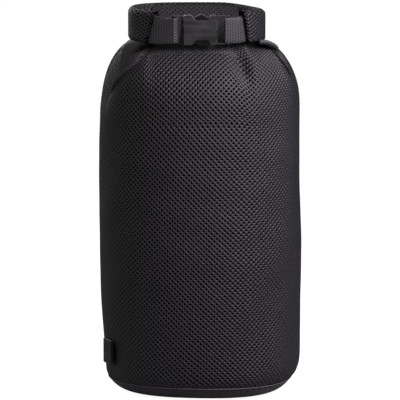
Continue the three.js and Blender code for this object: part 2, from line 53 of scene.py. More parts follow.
# Wall of the sack: heights of its seam, its shoulder and the two edges of its neck
SEAM_Z = 14
SHOULDER_Z = 276
NECK_Z = 353.3
RIDGE_Z = 384.9
Section = namedtuple("Section", "z half_width half_depth shift_x turn squareness")
WALL_SECTIONS = [
    Section(14, 93.2, 78.6, 0.6, -6, 2.45),
    Section(20, 95.8, 81.2, 1.8, -6, 2.4),
    Section(30, 97.3, 82.8, 2.7, -6, 2.35),
    Section(56, 98.6, 84.5, 2.0, -5, 2.25),
    Section(90, 99.9, 86.0, 0.8, -4, 2.2),
    Section(147, 101.0, 87.0, 0.7, -3, 2.15),
    Section(200, 100.2, 86.5, -0.5, -2, 2.15),
    Section(245, 99.9, 86.0, -0.6, -1, 2.15),
    Section(276, 99.2, 85.2, -0.4, 0, 2.15),
]
WALL_GIRTH = 600
PANEL_HEIGHT = 405
SHOULDER_CROWDING = 1.5
SIDE_ROUNDNESS = 2.07
FRONT_ROUNDNESS = 3.8
FRONT_LEAN_POWER = 3.0
SEAM_TUCK = 1.2
SEAM_TUCK_HEIGHT = 6
CLOTH = 2.3

# The oval along which shares of the girth are measured: its half width, half depth and squareness
GIRTH_OVAL = (100, 86.5, 2.2)

# The two panels of the wall, each with its first seam in turns from the front middle towards +X
PANELS = {"mesh_front": -0.25, "mesh_back": 0.25}
PANEL_TURN = 0.5
PANEL_WIDTH = PANEL_TURN * WALL_GIRTH

# How many points curves are measured with
CURVE_SAMPLES = 4000
ROLL_SAMPLES = 2000
WALL_SAMPLES = 160
SHOULDER_SAMPLES = 400
COLUMN_SAMPLES = 300

# Neck: offsets of the front and the back cloth from the roll's ring, and where the front cloth climbs behind
# the buckle and laps on to the roll, in shares of the way from an end fold to the front or the back middle
FRONT_OFFSET = -2.5
BACK_OFFSET = 0.5
END_FOLD_OFFSET = 7.5
FRONT_TUCK = (0.15, 0.45)
BACK_TUCK = (0.02, 0.2)
LAP_OFFSET = 3.4
RIDGE_RISE = (0.52, 0.64)

# The end folds, left and right: how far they are from the front middle in turns, where on the roll's length
# they end, and how flat and wide the cloth is drawn taut at the left one
END_FOLD_TURNS = (0.2, 0.2)
END_FOLD_SHARES = (0.0, 0.94)
TAUT_ROUNDNESS = 1.35
TAUT_WIDTH = 0.04

# Folds of the wall: around is in turns from the front middle towards +X, and positive depth dents the cloth
Fold = namedtuple("Fold", "low_around low_z high_around high_z width depth")
FOLDS = [
    Fold(0.084, 318, 0.060, 352, 8, 7.0),
    Fold(0.030, 312, 0.012, 350, 16, -1.2),
    Fold(0.07, 30, 0.16, 130, 26, 2.0),
    Fold(-0.16, 24, -0.06, 120, 28, 1.6),
    Fold(0.27, 285, 0.285, 352, 26, -2.4),
    Fold(0.36, 270, 0.40, 346, 20, 4.0),
    Fold(0.62, 272, 0.57, 346, 20, 4.0),
]

# Shares of a fold's length over which it deepens and fades, and the wall's share where all folds end
FOLD_DEEPENS = (-0.35, 0.45)
FOLD_FADES = (0.8, 1.2)
FOLDS_END = 1.75

# Pleats, where cloth on one side of a line lies over the cloth on its other side. side is -1 where the upper
# cloth is to the left and +1 where it is to the right.
Pleat = namedtuple("Pleat", "low_around low_z high_around high_z side lift sink")
PLEATS = [
    Pleat(-0.204, 295, -0.085, 349, -1, 1.6, 3.0),
    Pleat(0.206, 312, 0.142, 350, 1, 1.2, 2.6),
]
PLEAT_EDGE = 1.3
PLEAT_LIFT_LENGTH = 24
PLEAT_SINK_LENGTH = 9
PLEAT_DEEPENS = (0, 0.4)
PLEAT_FADES = (1.0, 1.15)

# The rounded edge of the upper cloth at a pleat, and the wall's share up to which its height is looked up
FOLD_EDGE_RADIUS = 0.75
FOLD_EDGE_FROM = 0.12
FOLD_EDGE_FULL = 0.36
FOLD_EDGE_POINTS = 60
TUBE_SIDES = 10
COLUMN_TOP_SHARE = 1.98

# Rolled mouth: its ring in plan, the section of the roll and how it droops at the back right
RING_HALF_WIDTH = 56.8
RING_HALF_DEPTH = 38.5
RING_CENTRE = (-3.2, -18.5)
RING_SQUARENESS = 2.8
RING_END_ANGLE = math.radians(136.5)
RING_STEP = 1e-4
DROOP_DEPTH = 3
DROOP_SHARES = (0.6, 0.76, 0.82, 0.94)
ROLL_BOTTOM = 354.2
ROLL_TOP = 386
ROLL_LAYER = 2.4
ROLL_INNER = 2.1
ROLL_CORE = 4.9
ROLL_WEBBING = 7.3
ROLL_OUTER = 9.7

# The roll's ends: how far they reach over the straps, how far their tops run past their feet, over which
# share of the roll this grows, and how far the outer layer bulges over the doubled webbing
RollEnd = namedtuple("RollEnd", "reach slant")
LEFT_END = RollEnd(5.0, 7.0)
RIGHT_END = RollEnd(2.2, 4.0)
ROLL_END_SHARE = 0.16
ROLL_END_BULGE = 2.2
ROLL_BULGE_SHARE = 0.06

# Net of the spacer mesh: staggered holes in a lattice of diagonal strands. Marks tell how deep in a hole a
# point is, from 0 to 1.
NET_PITCH_ACROSS = 5.36
NET_PITCH_UP = 5.0
ROLL_NET_PITCH_UP = 3.4
CROWDED_LENGTH = 90
CROWDING_POWER = 1.3
RIDGE_NET_LENGTH = 75
RIDGE_NET_STRETCH = 0.22
STRAND_SCALE = 0.74
STRAND_DROP = 0.10
STRAND_MARK = 0.4
HOLE_SCALE = 0.68
HOLE_DROP = 1.3
HOLE_MARK = 1.0
ROLL_HOLE_DROP = 1.0
NET_SEED = 7

# The surface map that holds the cloth's own directions, and where a sheet's faces and its rim lie in it
CLOTH_MAP = "OFBake"
MAP_ACROSS = (0.01, 0.99)
MAP_OUTER = (0.11, 0.99)
MAP_INNER = (0.05, 0.09)
MAP_RIM = (0.01, 0.04)

# Unevenness of a panel: waves of its rows, ripples of its surface and the dip along its side seams. A wave
# has counts around the sack and up the panel.
ROW_DRIFT = 0.0011
DRIFT_WAVE = (2.3, 1.7)
BROAD_RIPPLE = 0.45
BROAD_WAVES = ((5.1, 3.3), (-1.9, 7.3))
FINE_RIPPLE = 0.3
FINE_WAVE = (11.7, -4.1)
SEAM_DIP_WIDTH = 2.2

# Base panel, and the size that its oval is cut to
BASE_CORNER = 28
BASE_PUCKERS = 74
BASE_PUCKER_DEPTH = 0.35
BASE_COLUMNS = 296
BASE_EDGE_ROWS = 20
BASE_FLAT_ROWS = 10

# Webbing
WEBBING_WIDTH = 25
WEBBING_THICKNESS = 1.6
WEBBING_IN_ROLL = 12
WEBBING_Z_IN_ROLL = 369.5
WEBBING_SLOPE_FROM = 27
WEBBING_SLOPE_POWER = 3
WEBBING_RIB_PITCH = 2.9
WEBBING_KNOT_PITCH = 2.8
WEBBING_KNOT_SHARE = 0.75
WEBBING_RIB_HEIGHT = 0.28
WEBBING_STEP = 0.5
WEBBING_POINTS_ACROSS = 45
WEBBING_EDGE_POWER = 10
GAP = 0.4

# Straps: side is -1 for the left one and +1 for the right one, then come the bar that it goes round, the
# radii of its loop behind and in front of the bar, and how far its front layer ends below its back layer
Strap = namedtuple("Strap", "node side bar_x bar_half back_radius front_radius drop")
STRAPS = [
    Strap("strap_left", -1, -24.3, 1.6, 2.4, 5.0, 3.0),
    Strap("strap_right", 1, 27.2, 1.8, 1.4, 1.4, 1.6),
]

# Shares of a strap's free length, from the roll to the bar, where its two layers follow the roll's ring
BACK_LAYER_SHARES = (0.3, 0.6)
FRONT_LAYER_SHARES = (0.3, 0.0)
WRAP_STEPS = 4

# Buckle
BUCKLE_Y = -63.6
BUCKLE_Z = 367.2
BAR_HALF_DEPTH = 1.7
PLASTIC_EDGE = 0.8
PLASTIC_EDGE_STEPS = 3
PLASTIC_EDGE_ANGLE = math.radians(25)
FLAT_ANGLE = math.radians(1)
SAME_POINT = 0.001

# Side tab
TAB_LOW_Z = 30.5
TAB_HIGH_Z = 55
TAB_WIDTH = 20
TAB_THICKNESS = 1.2
TAB_AROUND = 0.825
TAB_AROUND_STEP = 0.01
TAB_LOOP_RADIUS = 0.75
TAB_STAND_OFF = 0.4

# Base seam
SEAM_POINTS = 300
WELT_RADIUS = 0.6
WELT_SIDES = 8
STITCH_PITCH = 2.7
STITCH_LENGTH = 1.9
STITCH_RADIUS = 0.42
STITCH_SIDES = 6
STITCH_RINGS = 5

# Cloths: patches and fibres of the yarn are counts to a metre, and fuzz is the strength of the fibres' relief
Cloth = namedtuple("Cloth", "name colour patches fibres fuzz roughness shine sheen")
STRAND_COLOUR = (0.0042, 0.0039, 0.0045)
SPACER_MESH = Cloth("spacer_mesh", STRAND_COLOUR, 14, 1900, 0.4, 0.58, 0.5, 0)
BASE_CLOTH = Cloth("base_cloth", (0.018, 0.0172, 0.0195), 20, 1500, 0.5, 0.75, 0.3, 0.1)
SEAM_YARN = Cloth("seam_yarn", (0.060, 0.059, 0.065), 20, 2400, 0.5, 0.7, 0.3, 0.1)
FOLD_YARN = Cloth("fold_yarn", STRAND_COLOUR, 20, 1900, 0.5, 0.58, 0.3, 0.1)
STRAP_WEBBING = Cloth("webbing", (0.056, 0.055, 0.058), 40, 2400, 0.5, 0.5, 0.25, 0)
TAB_WEBBING = Cloth("tab_webbing", (0.014, 0.0136, 0.0146), 40, 2400, 0.5, 0.5, 0.25, 0)
# Painted shade in the webbing's weave: the valleys between its knots are coloured darker, and the knot mark
# lightens them towards the webbing's colour
WEBBING_VALLEY_SHADE = (0.0015, 0.0014, 0.0016)
KNOT_LIGHTENS = (0.3, 0.85)
FUZZ_DEPTH = 0.2

# Depth of the net's holes, with painted shade: a dark colour stands in for the shade deep in them and darkens
# the strands towards them
HOLE_SHADE_COLOUR = (0.002, 0.002, 0.0022)
HOLE_ROUGHNESS = 1
HOLE_SHINE = 0.02
HOLE_DARKENS = (0.5, 1.0)
HOLE_TONES = (0.45, 1.0)
HOLE_LEVELS = (0.3, 4.0)

# Plastics of the buckle: roughness goes from smooth to rough along slanting smears. The plug is the socket's
# plastic with a darker colour, painted shade on its recessed prong.
Plastic = namedtuple("Plastic", "name colour smooth rough")
SOCKET_PLASTIC = Plastic("socket_plastic", (0.010, 0.0098, 0.0103), 0.3, 0.55)
SHADED_PLUG_PLASTIC = Plastic("plug_plastic", (0.004, 0.0038, 0.0042), 0.2, 0.3)
SMEAR_TURN = (0, math.radians(-15), 0)
SMEAR_STRETCH = (0.3, 1, 1)
SMEARS = 160
GRAINS = 2600
GRAIN_RELIEF = 0.25
GRAIN_DEPTH = 0.05

# Noise patterns: their detail, the range of their values that counts and the shades that it becomes
Pattern = namedtuple("Pattern", "detail values shades")
PATCH_PATTERN = Pattern(3, (0.3, 0.7), (0.86, 1.14))
FIBRE_PATTERN = Pattern(2, (0.25, 0.75), (0.75, 1.25))
SMEAR_PATTERN = Pattern(3, (0.3, 0.7), (0.6, 1.2))
GRAIN_DETAIL = 2

# Light, in metres and watts: softboxes that face the sack, and a sky that is brighter behind its left side
Softbox = namedtuple("Softbox", "name place size power colour")
SOFTBOXES = [
    Softbox("key", (0.50, -0.55, 0.70), 0.35, 13.8, (0.93, 0.85, 1.0)),
    Softbox("fill", (0.2, -0.8, 0.9), 0.9, 3, (1.0, 0.89, 0.93)),
    Softbox("left", (-0.75, -0.35, 0.55), 0.3, 0.5, (1.0, 0.93, 0.82)),
    Softbox("back", (-0.45, 0.85, 0.7), 0.6, 3.5, (1.0, 0.95, 0.97)),
]
LIGHT_TARGET = Vector((0, 0, 0.2))
SKY_BRIGHT_SIDE = (-0.64, 0.77, 0)
SKY_RANGE = (-0.1, 0.8)
SKY_STRENGTHS = (0.06, 0.65)

# Floor
FLOOR_HALF = 20000
FLOOR_Z = -0.2
FLOOR_TONE = 0.3
FLOOR_ROUGHNESS = 0.9
FLOOR_GLOW = 0.95
WHITE = (1, 1, 1, 1)


# Small helpers for arrays

def mix(first, second, share):
    return first + (second - first) * share


def ease(value, low, high):
    share = np.clip((value - low) / (high - low), 0, 1)
    return share * share * (3 - 2 * share)


def unit(vectors):
    return vectors / np.maximum(np.linalg.norm(vectors, axis=-1, keepdims=True), 1e-12)


def lengths_along(points):
    """Running length of lines of points, along the axis before the last."""
    steps = np.linalg.norm(np.diff(points, axis=-2), axis=-1)
    start = np.zeros(steps.shape[:-1] + (1,))
    return np.concatenate((start, np.cumsum(steps, axis=-1)), axis=-1)


def resampled(line, step):
    """Points of a line at even distances of about step."""
    lengths = lengths_along(line)
    count = max(2, round(lengths[-1] / step))
    even = np.linspace(0, lengths[-1], count + 1)
    return np.stack([np.interp(even, lengths, line[:, axis]) for axis in range(line.shape[1])], axis=1)


def smooth_line(corners, steps=12):
    """A smooth curve through points, cubic between each two."""
    ends = np.vstack((2 * corners[0] - corners[1], corners, 2 * corners[-1] - corners[-2]))
    t = np.linspace(0, 1, steps, endpoint=False)[:, None]
    pieces = []
    for a, b, c, d in zip(ends, ends[1:], ends[2:], ends[3:]):
        pieces.append(0.5 * (2 * b + (c - a) * t + (2 * a - 5 * b + 4 * c - d) * t**2
                             + (3 * b - a - 3 * c + d) * t**3))
    return np.vstack((*pieces, corners[-1]))


def arc(centre, radius, from_degrees, to_degrees, steps=10):
    angles = np.radians(np.linspace(from_degrees, to_degrees, steps + 1))
    return np.stack((centre[0] + radius * np.cos(angles), centre[1] + radius * np.sin(angles)), axis=1)


def turned(plan, degrees):
    """Points in plan, turned about the middle."""
    cos, sin = np.cos(np.radians(degrees)), np.sin(np.radians(degrees))
    x = plan[..., 0] * cos - plan[..., 1] * sin
    y = plan[..., 0] * sin + plan[..., 1] * cos
    return np.stack((x, y), axis=-1)


# Shape of the sack

def oval(angle, half_width, half_depth, squareness):
    """Squarish oval that starts at the front middle and turns towards +X."""
    power = 2 / squareness
    across, forward = np.sin(angle), np.cos(angle)
    x = half_width * np.sign(across) * np.abs(across) ** power
    y = -half_depth * np.sign(forward) * np.abs(forward) ** power
    return np.stack((x, y), axis=-1)


def by_length(curve):
    """Turns a share of a curve's length into the share of its own turn."""
    turns = np.linspace(0, 1, CURVE_SAMPLES)
    lengths = lengths_along(curve(turns))
    return lambda share: np.interp(share, lengths / lengths[-1], turns)


def ring_curve(turn, offset=0, end_angle=RING_END_ANGLE):
    """The roll's ring in plan, from its left end round the back to its right end."""
    angle = math.pi - mix(-end_angle, end_angle, turn)
    return oval(angle, RING_HALF_WIDTH + offset, RING_HALF_DEPTH + offset, RING_SQUARENESS) + RING_CENTRE


def whole_ring_curve(turn):
    """The same ring, closed at the front."""
    return ring_curve(turn, 0, math.pi)


def curve_length(curve, samples):
    return lengths_along(curve(np.linspace(0, 1, samples)))[-1]


wall_turn = by_length(lambda turn: oval(2 * np.pi * turn, *GIRTH_OVAL))
ring_turn = by_length(ring_curve)
whole_ring_turn = by_length(whole_ring_curve)
whole_ring_length = curve_length(whole_ring_curve, CURVE_SAMPLES)


def section_at(z):
    """Sizes of the wall's outline at heights z, smoothly between the rows of the table."""
    heights = np.array([row.z for row in WALL_SECTIONS], float)
    index = np.clip(np.searchsorted(heights, z) - 1, 0, len(heights) - 2)
    span = heights[index + 1] - heights[index]
    t = np.clip((z - heights[index]) / span, 0, 1)
    sizes = []
    for column in range(1, len(Section._fields)):
        values = np.array([row[column] for row in WALL_SECTIONS])
        slopes = np.concatenate((
            [(values[1] - values[0]) / (heights[1] - heights[0])],
            (values[2:] - values[:-2]) / (heights[2:] - heights[:-2]),
            [(values[-1] - values[-2]) / (heights[-1] - heights[-2])],
        ))
        eased = mix(values[index], values[index + 1], 3 * t**2 - 2 * t**3)
        sloped = slopes[index] * (t**3 - 2 * t**2 + t) + slopes[index + 1] * (t**3 - t**2)
        sizes.append(eased + span * sloped)
    return sizes


def outline(around, z, inset):
    """Points in plan of the wall's outline at heights z, drawn in by inset."""
    half_width, half_depth, shift_x, turn, squareness = section_at(z)
    angle = 2 * np.pi * wall_turn(around - np.floor(around))
    plan = turned(oval(angle, half_width - inset, half_depth - inset, squareness), turn)
    plan[..., 0] += shift_x
    return plan


def ring_droop(share):
    start, full, full_to, end = DROOP_SHARES
    return -DROOP_DEPTH * ease(share, start, full) * (1 - ease(share, full_to, end))


def neck(around):
    """Where each column of the wall ends at the roll, and how far its cloth climbs to the ridge."""
    turns = around - np.round(around)
    reach = np.where(turns < 0, *END_FOLD_TURNS)
    front = np.abs(turns) <= reach
    from_middle = np.where(front, turns / reach, (np.sign(turns) * 0.5 - turns) / (0.5 - reach))
    from_end = 1 - np.abs(from_middle)
    rise = np.where(front, ease(from_end, *RIDGE_RISE), 0)
    front_offset = mix(END_FOLD_OFFSET, FRONT_OFFSET, ease(from_end, *FRONT_TUCK))
    back_offset = mix(END_FOLD_OFFSET, BACK_OFFSET, ease(from_end, *BACK_TUCK))
    offset = np.where(front, mix(front_offset, LAP_OFFSET, rise), back_offset)
    end_share = np.where(from_middle < 0, *END_FOLD_SHARES)
    share = mix(0.5, end_share, np.abs(from_middle))
    plan = ring_curve(ring_turn(share), offset)
    z = mix(NECK_Z, RIDGE_Z, rise) + ring_droop(share)
    return plan, z, rise


def along_and_beside(line, around, z):
    """Share of the way up a fold's or a pleat's line, and the distance from it towards +X along the girth."""
    along = (z - line.low_z) / (line.high_z - line.low_z)
    turns = around - mix(line.low_around, line.high_around, along)
    return along, (turns - np.round(turns)) * WALL_GIRTH


def fold_depth(around, z):
    depth = np.zeros(np.broadcast(around, z).shape)
    for fold in FOLDS:
        along, beside = along_and_beside(fold, around, z)
        fade = ease(along, *FOLD_DEEPENS) * (1 - ease(along, *FOLD_FADES))
        depth += fold.depth * fade * np.exp(-(beside / fold.width) ** 2)
    return depth


def pleat_lift(around, z):
    lift = np.zeros(np.broadcast(around, z).shape)
    for pleat in PLEATS:
        along, beside = along_and_beside(pleat, around, z)
        over = beside * pleat.side
        upper = pleat.lift * np.exp(-np.abs(over) / PLEAT_LIFT_LENGTH)
        lower = -pleat.sink * np.exp(-np.abs(over) / PLEAT_SINK_LENGTH)
        fade = ease(along, *PLEAT_DEEPENS) * (1 - ease(along, *PLEAT_FADES))
        lift += fade * mix(lower, upper, ease(over, -PLEAT_EDGE, PLEAT_EDGE))
    return lift


def wall_points(around, share):
    """Points of the wall. share runs from 0 at the seam to 1 at the shoulder and to 2 at the neck."""
    z = mix(SEAM_Z, SHOULDER_Z, np.minimum(share, 1))
    tuck = SEAM_TUCK * np.maximum(0, 1 - (z - SEAM_Z) / SEAM_TUCK_HEIGHT) ** 2
    plan = outline(around, z, tuck)
    outwards = unit(plan)
    above = np.maximum(share, 1)
    neck_plan, neck_z, rise = neck(around)
    facing = np.maximum(0, np.cos(2 * np.pi * around)) ** 2
    taut = np.exp(-((around - np.round(around) + END_FOLD_TURNS[0]) / TAUT_WIDTH) ** 2)
    power = 2 / mix(mix(SIDE_ROUNDNESS, FRONT_ROUNDNESS, facing), TAUT_ROUNDNESS, taut)
    angle = (1 - (2 - above) ** SHOULDER_CROWDING) * np.pi / 2
    climb = np.sin(angle) ** power
    lean = mix(1 - np.maximum(np.cos(angle), 0) ** power, climb**FRONT_LEAN_POWER, rise)
    z = mix(z, neck_z, climb)
    dent = (1 - ease(above, FOLDS_END, 2)) * (fold_depth(around, z) - pleat_lift(around, z))
    plan = mix(plan, neck_plan, lean[..., None]) - outwards * dent[..., None]
    return np.concatenate((plan, z[..., None]), axis=-1)


def wall_points_at(around, z):
    """Points of the shoulder at heights z, one for each column at around."""
    shares = np.linspace(1, COLUMN_TOP_SHARE, COLUMN_SAMPLES)
    columns = wall_points(around[:, None], shares[None, :])[..., 2]
    return wall_points(around, np.array([np.interp(*pair, shares) for pair in zip(z, columns)]))


# Meshes

def add_object(name, data):
    added = bpy.data.objects.new(name, data)
    scene.collection.objects.link(added)
    return added


def add_piece(name, points, faces, material, corner_map=None):
    """A new object from points in millimetres."""
    mesh = bpy.data.meshes.new(name)
    mesh.from_pydata((np.asarray(points) * MM).tolist(), [], faces)
    if corner_map is not None:
        layer = mesh.uv_layers.new(name=CLOTH_MAP)
        layer.data.foreach_set("uv", np.asarray(corner_map, np.float32).ravel())
    mesh.materials.append(material)
    mesh.shade_smooth()
    return add_object(name, mesh)


def place_piece(piece, node=None):
    """Puts a piece on the sack's one body, and hides the solid that it replaces, if any."""
    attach(piece, "root")
    if node:
        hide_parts(node)


def ring_faces(rings, size, first=0, turn_round=False):
    """Faces between closed rings of points that follow each other, from the point numbered first."""
    faces = []
    for ring in range(rings - 1):
        a = first + ring * size
        b = a + size
        for i in range(size):
            j = (i + 1) % size
            faces.append([a + i, a + j, b + j, b + i] if turn_round else [a + i, b + i, b + j, a + j])
    return faces


def turn_outwards(piece):
    work = bmesh.new()
    work.from_mesh(piece.data)
    bmesh.ops.recalc_face_normals(work, faces=work.faces)
    work.to_mesh(piece.data)
    work.free()


def bake_modifiers(piece):
    """Turns what a piece's modifiers make into its plain mesh."""
    graph = bpy.context.evaluated_depsgraph_get()
    mesh = bpy.data.meshes.new_from_object(piece.evaluated_get(graph), preserve_all_data_layers=True,
                                           depsgraph=graph)
    piece.modifiers.clear()
    piece.data = mesh


def run_nodes(piece, tree, **inputs):
    """Runs a node tree on a piece with its named inputs, and keeps the result as the piece's mesh."""
    modifier = piece.modifiers.new(tree.name, "NODES")
    modifier.node_group = tree
    for item in tree.interface.items_tree:
        name = item.name.lower().replace(" ", "_")
        if name in inputs:
            modifier[item.identifier] = inputs[name]
    bake_modifiers(piece)


def set_inputs(tree, node, inputs):
    """Gives a node its inputs, each a value or another node's output."""
    for key, value in inputs.items():
        if isinstance(value, bpy.types.NodeSocket):
            tree.links.new(value, node.inputs[key])
        else:
            node.inputs[key].default_value = value


def add_node(tree, kind, inputs=None, **settings):
    node = tree.nodes.new(kind)
    for name, value in settings.items():
        setattr(node, name, value)
    set_inputs(tree, node, inputs or {})
    return node


def times(tree, first, second):
    return add_node(tree, "ShaderNodeMath", {0: first, 1: second}, operation="MULTIPLY").outputs[0]


def new_geometry_tree(name, inputs):
    """A geometry tree with named inputs beside its geometry: numbers, or materials where None is given."""
    kinds = {float: "NodeSocketFloat", int: "NodeSocketInt", type(None): "NodeSocketMaterial"}
    tree = bpy.data.node_groups.new(name, "GeometryNodeTree")
    tree.interface.new_socket("Geometry", in_out="INPUT", socket_type="NodeSocketGeometry")
    for label, value in inputs.items():
        socket = tree.interface.new_socket(label, in_out="INPUT", socket_type=kinds[type(value)])
        if value is not None:
            socket.default_value = value
    tree.interface.new_socket("Geometry", in_out="OUTPUT", socket_type="NodeSocketGeometry")
    return tree, tree.nodes.new("NodeGroupInput").outputs


def end_tree(tree, geometry, *paints):
    """Ends a geometry tree in plain geometry with its materials, each given with the faces that it is for."""
    real = add_node(tree, "GeometryNodeRealizeInstances", {"Geometry": geometry})
    result = real.outputs[0]
    for material, faces in paints:
        painted = add_node(tree, "GeometryNodeSetMaterial",
                           {"Geometry": result, "Material": material, "Selection": faces})
        result = painted.outputs[0]
    add_node(tree, "NodeGroupOutput", {0: result})


# Net of the spacer mesh

def make_net_tree():
    """Sinks a hole into each marked face, with a rounded strand left round it."""
    tree, given = new_geometry_tree("net_holes", {
        "Strand Scale": STRAND_SCALE,
        "Strand Drop": STRAND_DROP * MM,
        "Hole Scale": HOLE_SCALE,
        "Hole Drop": HOLE_DROP * MM,
        "Seed": NET_SEED,
        "Material": None,
        "Hole Material": None,
    })

    def named(name, kind):
        node = add_node(tree, "GeometryNodeInputNamedAttribute", {"Name": name}, data_type=kind)
        return node.outputs["Attribute"]

    def store(geometry, name, kind, domain, value, selection=True):
        node = add_node(tree, "GeometryNodeStoreNamedAttribute",
                        {"Geometry": geometry, "Name": name, "Value": value, "Selection": selection},
                        data_type=kind, domain=domain)
        return node.outputs[0]

    def sink(geometry, selection, drop, scale, depth_mark):
        """One step down into the hole. The cloth's map shrinks with the step."""
        down = times(tree, drop, -1)
        step = add_node(tree, "GeometryNodeExtrudeMesh", {
            "Mesh": geometry, "Selection": selection, "Offset Scale": down, "Individual": True})
        top = step.outputs["Top"]
        small = add_node(tree, "GeometryNodeScaleElements",
                         {"Geometry": step.outputs["Mesh"], "Selection": top, "Scale": scale})
        marked = store(small.outputs[0], "pit", "FLOAT", "POINT", depth_mark, top)
        on_points = add_node(tree, "GeometryNodeFieldOnDomain", {0: top}, data_type="BOOLEAN", domain="POINT")
        kept = add_node(tree, "ShaderNodeMix", {0: scale, 4: named("cell", "FLOAT_VECTOR"),
                                                5: named(CLOTH_MAP, "FLOAT_VECTOR")}, data_type="VECTOR")
        return store(marked, CLOTH_MAP, "FLOAT2", "CORNER", kept.outputs[1], on_points.outputs[0]), top

    centre = add_node(tree, "GeometryNodeFieldOnDomain", {0: named(CLOTH_MAP, "FLOAT_VECTOR")},
                      data_type="FLOAT_VECTOR", domain="FACE")
    chance = add_node(tree, "FunctionNodeRandomValue", {"Seed": given["Seed"]}, data_type="FLOAT")
    base = store(given["Geometry"], "cell", "FLOAT2", "CORNER", centre.outputs[0])
    base = store(base, "tone", "FLOAT", "FACE", chance.outputs[1])
    base = store(base, "pit", "FLOAT", "POINT", 0.0)
    holes = named("hole", "BOOLEAN")
    strand, top = sink(base, holes, given["Strand Drop"], given["Strand Scale"], STRAND_MARK)
    hole, floor = sink(strand, top, given["Hole Drop"], given["Hole Scale"], HOLE_MARK)
    bare = add_node(tree, "GeometryNodeRemoveAttribute", {"Geometry": hole, "Name": "cell"})
    # Hole floors and rim faces get the dark hole material, which is painted shade.
    end_tree(tree, bare.outputs[0], (given["Material"], True), (given["Hole Material"], floor),
             (given["Hole Material"], named("rim", "BOOLEAN")))
    return tree


def net_sheet(name, outer, inner, material):
    """A cloth sheet with a net on its outer side. outer and inner are grids of points, columns by rows, seen
    from outside with columns to the right and rows upwards. Both counts of steps are even."""
    columns, rows = outer.shape[0] - 1, outer.shape[1] - 1
    used = (np.add.outer(np.arange(columns + 1), np.arange(rows + 1)) % 2) == 0
    number = np.cumsum(used.ravel()).reshape(used.shape) - 1
    count = int(used.sum())
    points = np.concatenate((outer[used], inner[used]))
    cells = []
    for column in range(columns + 1):
        for row in range(1 - column % 2, rows + 1, 2):
            ring = [(column - 1, row), (column, row - 1), (column + 1, row), (column, row + 1)]
            cells.append([(c, r) for c, r in ring if 0 <= c <= columns and 0 <= r <= rows])
    border = ([(c, 0) for c in range(0, columns, 2)] + [(columns, r) for r in range(0, rows, 2)]
              + [(c, rows) for c in range(columns, 0, -2)] + [(0, r) for r in range(rows, 0, -2)])

    def spot(cell, band):
        return mix(*MAP_ACROSS, cell[0] / columns), mix(*band, cell[1] / rows)

    faces, corner_map = [], []
    for first, band, order in ((0, MAP_OUTER, 1), (count, MAP_INNER, -1)):
        for cell in cells:
            faces.append([first + number[corner] for corner in cell[::order]])
            corner_map += [spot(corner, band) for corner in cell[::order]]
    low, high = MAP_RIM
    for i, corner in enumerate(border):
        after = border[(i + 1) % len(border)]
        a, b = number[corner], number[after]
        faces.append([b, a, a + count, b + count])
        left, right = i / len(border), (i + 1) / len(border)
        corner_map += [(right, high), (left, high), (left, low), (right, low)]
    piece = add_piece(name, points, [[int(i) for i in face] for face in faces], material, corner_map)
    holes = np.zeros(len(faces), bool)
    holes[:len(cells)] = [len(cell) == 4 for cell in cells]
    piece.data.attributes.new("hole", "BOOLEAN", "FACE").data.foreach_set("value", holes)
    # Rim faces, the sheet's edges and its border cells without a hole, get the dark hole material: painted
    # shade along the edges.
    rim = ~holes
    rim[len(cells):2 * len(cells)] = False
    piece.data.attributes.new("rim", "BOOLEAN", "FACE").data.foreach_set("value", rim)
    return piece


def grid_normals(grid):
    return unit(np.cross(np.gradient(grid, axis=0), np.gradient(grid, axis=1)))


def even_count(length, step):
    return 2 * round(length / step / 2)


# Wall and base

def wave(around, part, counts):
    return np.sin(2 * np.pi * (counts[0] * around + counts[1] * part))


def near_top(part, length):
    """Share of the way over the top length of a panel, and 0 below it."""
    return np.clip((part - 1) * PANEL_HEIGHT / length + 1, 0, 1)


def row_places(around, part, lengths):
    """Lengths along each column at which a panel's rows lie. Where the shoulder is short, spare rows crowd
    together under the roll. Where it is long, the rows above the panel's middle are spread, and those of the
    cloth that climbs to the ridge are pulled apart."""
    spare = PANEL_HEIGHT - lengths[:, -1:]
    crowded = near_top(part, CROWDED_LENGTH) ** CROWDING_POWER
    spread = np.maximum(0, 2 * part - 1) ** 2
    pull = RIDGE_NET_STRETCH * RIDGE_NET_LENGTH * np.sin(np.pi * near_top(part, RIDGE_NET_LENGTH))
    rise = neck(around)[2]
    return PANEL_HEIGHT * part - spare * np.where(spare > 0, crowded, spread) - rise * pull


def wall_grid(first_around):
    """Lattice points of one wall panel, with its slight ripples."""
    columns = even_count(PANEL_WIDTH, NET_PITCH_ACROSS / 2)
    around = np.linspace(first_around, first_around + PANEL_TURN, columns + 1)[:, None]
    up_wall = np.linspace(0, 1, WALL_SAMPLES)
    up_shoulder = np.linspace(1, 2, SHOULDER_SAMPLES)
    dense = np.concatenate((up_wall, up_shoulder[1:]))
    lengths = lengths_along(wall_points(around, dense[None, :]))
    rows = even_count(PANEL_HEIGHT, NET_PITCH_UP / 2)
    part = np.linspace(0, 1, rows + 1)[None, :]
    places = row_places(around, part, lengths)
    share = np.stack([np.interp(place, length, dense) for place, length in zip(places, lengths)])
    within = np.sqrt(np.sin(np.pi * np.linspace(0, 1, columns + 1)))[:, None]
    drift = ROW_DRIFT * within * wave(around, part, DRIFT_WAVE) * np.sin(np.pi * part)
    grid = wall_points(around + drift, share)
    broad = BROAD_RIPPLE * wave(around, part, BROAD_WAVES[0]) * wave(around, part, BROAD_WAVES[1])
    ripple = broad + FINE_RIPPLE * wave(around, part, FINE_WAVE)
    from_seam = np.minimum(np.arange(columns + 1), np.arange(columns, -1, -1))[:, None] * NET_PITCH_ACROSS / 2
    seam_dip = np.exp(-(from_seam / SEAM_DIP_WIDTH) ** 2)
    calm = np.sin(np.pi * part) * within
    return grid + grid_normals(grid) * (ripple * calm - seam_dip)[..., None]


